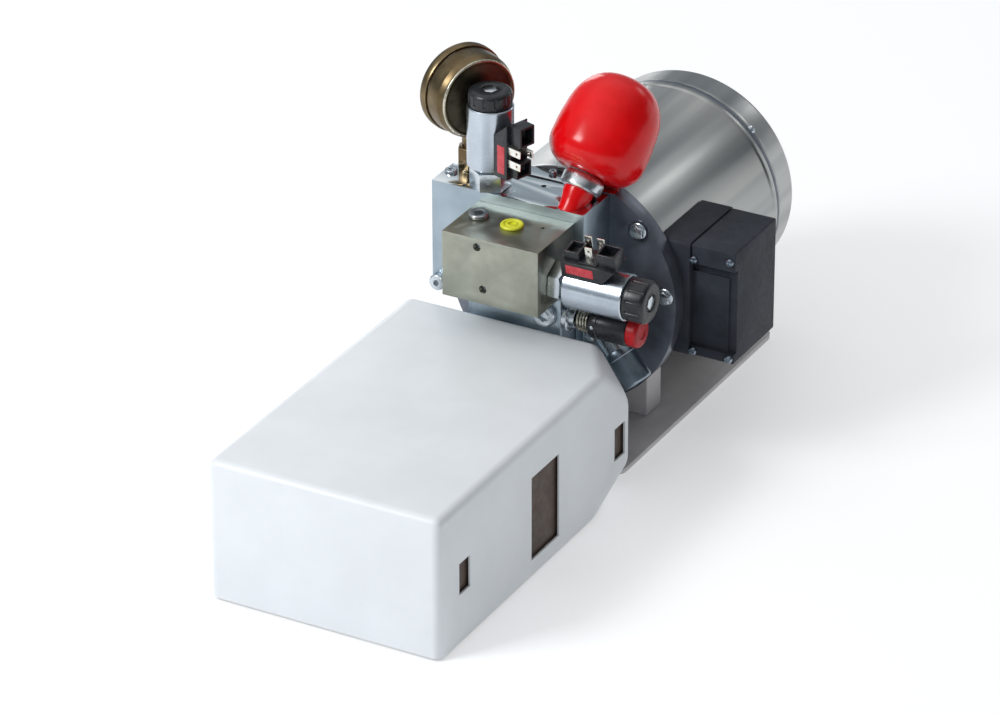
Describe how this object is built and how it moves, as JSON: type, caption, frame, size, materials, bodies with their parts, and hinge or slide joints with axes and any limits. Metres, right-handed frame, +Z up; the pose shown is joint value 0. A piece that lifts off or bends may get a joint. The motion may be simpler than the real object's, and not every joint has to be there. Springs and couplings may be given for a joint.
{
  "type": "hydraulic power unit",
  "caption": "Electric motor driving a gear pump through a manifold with solenoid valves, gauge and accumulator, beside a covered oil tank on a base plate.",
  "frame": {"origin": "middle of the base plate's underside, below the motor shaft", "axes": "+Z up, +Y along the motor shaft away from the tank, +X towards the terminal box"},
  "size_m": [0.2468, 0.594, 0.3052],
  "materials": {
    "white_cover": "satin white sheet",
    "brown_tank": "matt brown",
    "dark_rubber": "matt",
    "grey_base": "satin grey paint",
    "aluminium": "bright machined",
    "olive_block": "olive passivated",
    "zinc": "bright zinc",
    "steel": "ground",
    "motor_shell": "bright drawn",
    "dark_cast": "satin dark",
    "black_plastic": "fine grain",
    "red_paint": "gloss red",
    "red_plastic": "satin red",
    "yellow_plastic": "satin yellow",
    "bronze": "dark bronze",
    "dial": "white",
    "lens": "clear",
    "winding": "varnished"
  },
  "bodies": {
    "unit": {"base_plate": "grey_base", "front_saddle": "grey_base", "rear_saddle": "grey_base", "tank_cover": "white_cover", "oil_tank": "brown_tank", "tank_pad": "dark_rubber", "tank_gasket": "dark_rubber", "suction_tube": "steel", "suction_strainer": "zinc", "return_tube": "steel", "pump_body": "aluminium", "pump_plug": "zinc", "centre_manifold": "aluminium", "manifold_screw": "zinc", "valve_block": "olive_block", "yellow_plug": "yellow_plastic", "steel_plug": "zinc", "gauge_stem": "bronze", "gauge_case": "bronze", "gauge_bezel": "bronze", "gauge_lens": "lens", "gauge_dial": "dial", "accumulator_neck": "zinc", "accumulator_shell": "red_paint", "manual_valve_body": "zinc", "manual_valve_spring": "zinc", "outlet_elbow": "zinc", "motor_front_bell": "dark_cast", "bell_bolt_1": "zinc", "bell_bolt_2": "zinc", "motor_housing": "motor_shell", "stator_core": "winding", "front_bearing": "steel", "rear_bearing": "steel", "motor_rear_bell": "dark_cast", "fan_cowl": "motor_shell", "terminal_base": "black_plastic", "terminal_lid": "black_plastic", "cable_gland": "black_plastic", "upper_valve_cartridge": "zinc", "upper_valve_coil": "zinc", "upper_valve_cap": "black_plastic", "upper_valve_connector": "black_plastic", "side_valve_cartridge": "zinc", "side_valve_coil": "zinc", "side_valve_cap": "black_plastic", "side_valve_connector": "black_plastic"},
    "rotor": {"motor_shaft": "steel", "rotor_core": "steel", "cooling_fan": "black_plastic", "coupling": "steel", "pump_drive_gear": "steel"},
    "idler_gear": {"pump_driven_gear": "steel"},
    "pointer": {"gauge_pointer": "black_plastic"},
    "push_knob": {"manual_valve_knob": "black_plastic", "manual_valve_collar": "red_plastic"},
    "upper_armature": {"upper_valve_armature": "steel"},
    "side_armature": {"side_valve_armature": "steel"},
    "screw_cap": {"outlet_cap": "black_plastic"}
  },
  "joints": [
    {"name": "shaft_spin", "type": "hinge", "parent": "unit", "child": "rotor", "pos_m": [0, 0, 0.1188], "axis": [0, 1, 0], "continuous": true},
    {"name": "idler_spin", "type": "hinge", "parent": "unit", "child": "idler_gear", "pos_m": [0, -0.12, 0.09], "axis": [0, 1, 0], "continuous": true},
    {"name": "pointer_turn", "type": "hinge", "parent": "unit", "child": "pointer", "pos_m": [-0.0755, -0.0825, 0.2692], "axis": [-0.866, 0.5, 0], "range_deg": [-270, 0], "stiffness_Nm_per_rad": 0.002, "springref_deg": 17.19},
    {"name": "knob_push", "type": "slide", "parent": "unit", "child": "push_knob", "axis": [-1, 0, 0], "range_m": [0, 0.005], "stiffness_N_per_m": 1500, "springref_m": -0.003},
    {"name": "upper_armature_lift", "type": "slide", "parent": "unit", "child": "upper_armature", "axis": [0, 0, 1], "range_m": [0, 0.003], "stiffness_N_per_m": 400, "springref_m": -0.004},
    {"name": "side_armature_pull", "type": "slide", "parent": "unit", "child": "side_armature", "axis": [1, 0, 0], "range_m": [0, 0.003], "stiffness_N_per_m": 400, "springref_m": -0.004},
    {"name": "cap_unscrew", "type": "hinge", "parent": "unit", "child": "screw_cap", "pos_m": [0.0493, -0.101, 0.1065], "axis": [0.6758, -0.08, -0.7328], "range_deg": [0, 720]}
  ],
  "couplings": [
    {"joint": "idler_spin", "follows": "shaft_spin", "ratio": -1}
  ]
}
